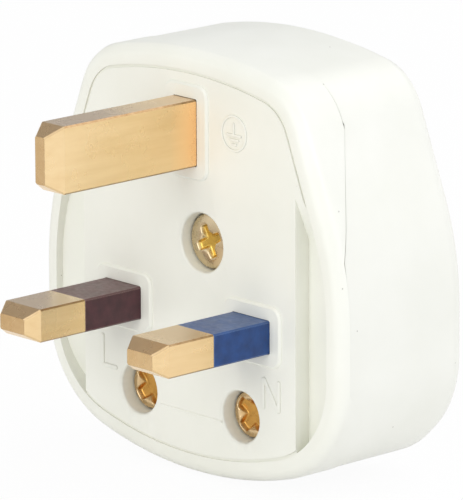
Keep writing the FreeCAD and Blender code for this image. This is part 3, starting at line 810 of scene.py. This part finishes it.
def stroke(start, end, count=24):
    """Points of a straight stroke in metres, closer at its ends: place = (1 - cos) / 2 of an even angle."""
    share = (1.0 - np.cos(np.linspace(0.0, np.pi, count))) / 2
    return (np.array(start) * (1 - share[:, None]) + np.array(end) * share[:, None]) * MILLIMETRE


def ring_path(centre, radius, count=72):
    """Points of a circle on the face, in metres."""
    angle = np.linspace(0.0, 2.0 * np.pi, count, endpoint=False)
    return (np.array(centre) + radius * np.stack([np.cos(angle), np.sin(angle)], 1)) * MILLIMETRE


# %% Joining the beads of a sign
SIGN_MERGE = 1e-7
SIGN_SHARP = math.radians(80)


def add_sign(name, strokes, width, height, finish):
    """Join the beads of one sign into one closed piece; doubled points at ends and joints are merged."""
    work = bmesh.new()
    for path, closed in strokes:
        grid = bead(path, width, height, closed)
        mesh = bpy.data.meshes.new(name)
        index = np.arange(grid.shape[0] * grid.shape[1]).reshape(grid.shape[:2])
        mesh.from_pydata(grid.reshape(-1, 3), [], squares(index, True))
        work.from_mesh(mesh)
        bpy.data.meshes.remove(mesh)
    bmesh.ops.remove_doubles(work, verts=work.verts, dist=SIGN_MERGE)
    bmesh.ops.recalc_face_normals(work, faces=work.faces)
    mesh = bpy.data.meshes.new(name)
    work.to_mesh(mesh)
    work.free()
    shade_smooth(mesh, SIGN_SHARP)
    return add_piece(name, mesh, finish)


# %% Signs on the pin face
LETTER_WIDTH = 0.00055
LIVE_LINES = [((-15.1, -5.0), (-15.1, -8.9)), ((-15.1, -8.9), (-12.5, -8.9))]
NEUTRAL_LINES = [((12.9, -8.9), (12.9, -5.0)), ((12.9, -5.0), (15.5, -8.9)), ((15.5, -8.9), (15.5, -5.0))]
EARTH_WIDTH = 0.00031
EARTH_CENTRE = (8.05, 23.15)
EARTH_RADIUS = 2.05
EARTH_LINES = [((0.0, 1.3), (0.0, -0.2)), ((-1.3, -0.2), (1.3, -0.2)), ((-0.9, -0.75), (0.9, -0.75)),
               ((-0.5, -1.3), (0.5, -1.3))]
SCREW_LINE = ((-5.0, -11.85), (5.8, -11.85))
SCREW_LINE_WIDTH = 0.00026
SCREW_LINE_RISE = 0.00010

for name, ends_of_lines in (("live_letter", LIVE_LINES), ("neutral_letter", NEUTRAL_LINES)):
    letter = [(stroke(*ends), False) for ends in ends_of_lines]
    add_sign(name, letter, LETTER_WIDTH, LETTER_RISE, sign_plastic)

earth = [(stroke(*np.add(EARTH_CENTRE, ends)), False) for ends in EARTH_LINES]
earth.append((ring_path(EARTH_CENTRE, EARTH_RADIUS), True))
add_sign("earth_sign", earth, EARTH_WIDTH, LETTER_RISE, sign_plastic)
screw_line = [(stroke(*SCREW_LINE, count=40), False)]
add_sign("screw_line", screw_line, SCREW_LINE_WIDTH, SCREW_LINE_RISE, housing_plastic)

# %% [markdown]
# ## The table
# The plug stands on a plain white table that fades into a white room. A white surface alone would render
# grey, because it only gives back the light that falls on it. So the eye, and every mirror, sees mostly a
# white glow of strength 1, and a small share of the lit paper, which keeps the shadow. Polished metal in
# an all-white room looks flat, so a photographer sets up cards for it to mirror. Three cards do that
# here: a cool one behind the plug for the upper faces, a brown one above its left for the upper bevels,
# and one on the table for the tips. Only mirrors see them.

# %% Table
TABLE_GAP = 0.0002
TABLE_SIZE = 8
GLOW_SHARE = 0.95


def flat_panel(name, centre, right, up, width, height):
    """A flat rectangle: centre + u x right + v x up, for u and v of plus and minus half its size."""
    u = np.array([-0.5, 0.5, 0.5, -0.5])[:, None] * width
    v = np.array([-0.5, -0.5, 0.5, 0.5])[:, None] * height
    corners = np.array(centre) + u * np.array(right) + v * np.array(up)
    mesh = bpy.data.meshes.new(name)
    mesh.from_pydata(corners, [], [(0, 1, 2, 3)])
    panel = bpy.data.objects.new(name, mesh)
    bpy.context.collection.objects.link(panel)
    return panel


def paper(name, colour):
    """A plain matt paper."""
    finish, tree, shader = new_finish(name)
    shader.inputs["Base Color"].default_value = (*colour, 1.0)
    shader.inputs["Roughness"].default_value = 0.9
    return finish, tree, shader


def seen_directly(tree):
    """One for rays that the eye, a mirror or glass sends, and zero for the light itself."""
    path = tree.nodes.new("ShaderNodeLightPath")
    total = path.outputs["Is Camera Ray"]
    for name in ("Is Glossy Ray", "Is Transmission Ray"):
        larger = tree.nodes.new("ShaderNodeMath")
        larger.operation = "MAXIMUM"
        tree.links.new(total, larger.inputs[0])
        tree.links.new(path.outputs[name], larger.inputs[1])
        total = larger.outputs["Value"]
    return total


table_paper, tree, shader = paper("table_paper", (0.9, 0.9, 0.9))
glow = tree.nodes.new("ShaderNodeEmission")
both = tree.nodes.new("ShaderNodeMixShader")
tree.links.new(span(tree, seen_directly(tree), 0.0, GLOW_SHARE, start=0.0, end=1.0), both.inputs["Fac"])
tree.links.new(shader.outputs["BSDF"], both.inputs[1])
tree.links.new(glow.outputs["Emission"], both.inputs[2])
tree.links.new(both.outputs["Shader"], tree.nodes["Material Output"].inputs["Surface"])
table_height = cad_low[2] - TABLE_GAP
table = flat_panel("table", (0, 0, table_height), (1, 0, 0), (0, 1, 0), TABLE_SIZE, TABLE_SIZE)
table.data.materials.append(table_paper)
print("table at:", round(table_height, 5))


# %% Cards for the brass
LOW_CARD_LIFT = 0.001


def only_mirrors_see(card, colour):
    """Give a card its paper, and hide it from the eye, from soft light and from shadows."""
    card.data.materials.append(paper(card.name + "_paper", colour)[0])
    card.visible_camera = False
    card.visible_diffuse = False
    card.visible_shadow = False


def level_right(direction):
    """The level direction at a right angle to this one, with length 1."""
    right = np.cross([0.0, 0.0, 1.0], direction)
    return right / np.linalg.norm(right)


def mirror_card(name, towards, away, size, colour):
    """A square card for mirrors, `away` metres off in the direction `towards`, that faces the plug."""
    towards = np.array(towards) / np.linalg.norm(towards)
    right = level_right(towards)
    card = flat_panel(name, away * towards, right, np.cross(right, towards), size, size)
    only_mirrors_see(card, colour)


mirror_card("back_card", towards=(-0.71, 0.66, 0.28), away=0.8, size=0.7, colour=(0.56, 0.58, 0.62))
mirror_card("upper_card", towards=(-0.71, -0.08, 0.68), away=0.6, size=0.62, colour=(0.46, 0.42, 0.37))
low_place = (-0.146, -0.136, cad_low[2] + LOW_CARD_LIFT)
low_card = flat_panel(
    "low_card", low_place, right=(0.73, 0.68, 0), up=(-0.68, 0.73, 0), width=0.28, height=0.3)
only_mirrors_see(low_card, (0.58, 0.51, 0.44))

# %% [markdown]
# ## Light
# Three large soft lamps and a pale sky model the plug: a cool lamp on its right makes the side the
# brightest face, one in front of the pins leaves the walls of the holes in soft shade, and one above, a
# little behind, lights the top. Their sum is near 1 on every visible face, so that each finish shows the
# colour it was given. The sky lights the plug less than the white that the eye and the mirrors see.

# %% Lights and sky
HEART = (0.0, 0.01, 0.005)
SKY_LIT = 0.64
SKY_SEEN = 1.0


def soft_light(name, place, size, watts, colour=(1.0, 1.0, 1.0)):
    """A square area light that faces the heart of the plug."""
    lamp = bpy.data.lights.new(name, "AREA")
    lamp.size = size
    lamp.energy = watts
    lamp.color = colour
    light = bpy.data.objects.new(name, lamp)
    bpy.context.collection.objects.link(light)
    back = np.array(place) - np.array(HEART)
    back = back / np.linalg.norm(back)
    right = level_right(back)
    light.matrix_world = placed((right, np.cross(back, right), back), place)


soft_light("shoulder_light", (0.90, 0.10, 0.50), size=0.7, watts=2.5, colour=(0.97, 0.97, 1.12))
soft_light("front_light", (0.12, -0.95, 0.38), size=0.7, watts=3.5)
soft_light("top_light", (0.15, 0.45, 0.85), size=0.8, watts=2.4, colour=(0.99, 0.99, 1.05))

sky = bpy.data.worlds.new("studio")
bpy.context.scene.world = sky
sky.use_nodes = True
tree = sky.node_tree
lit = tree.nodes["Background"]
seen = tree.nodes.new("ShaderNodeBackground")
for background, strength in ((lit, SKY_LIT), (seen, SKY_SEEN)):
    background.inputs["Color"].default_value = (1.0, 1.0, 1.0, 1.0)
    background.inputs["Strength"].default_value = strength
either = tree.nodes.new("ShaderNodeMixShader")
tree.links.new(seen_directly(tree), either.inputs["Fac"])
tree.links.new(lit.outputs["Background"], either.inputs[1])
tree.links.new(seen.outputs["Background"], either.inputs[2])
tree.links.new(either.outputs["Shader"], tree.nodes["World Output"].inputs["Surface"])
bpy.context.scene.view_settings.view_transform = "Standard"
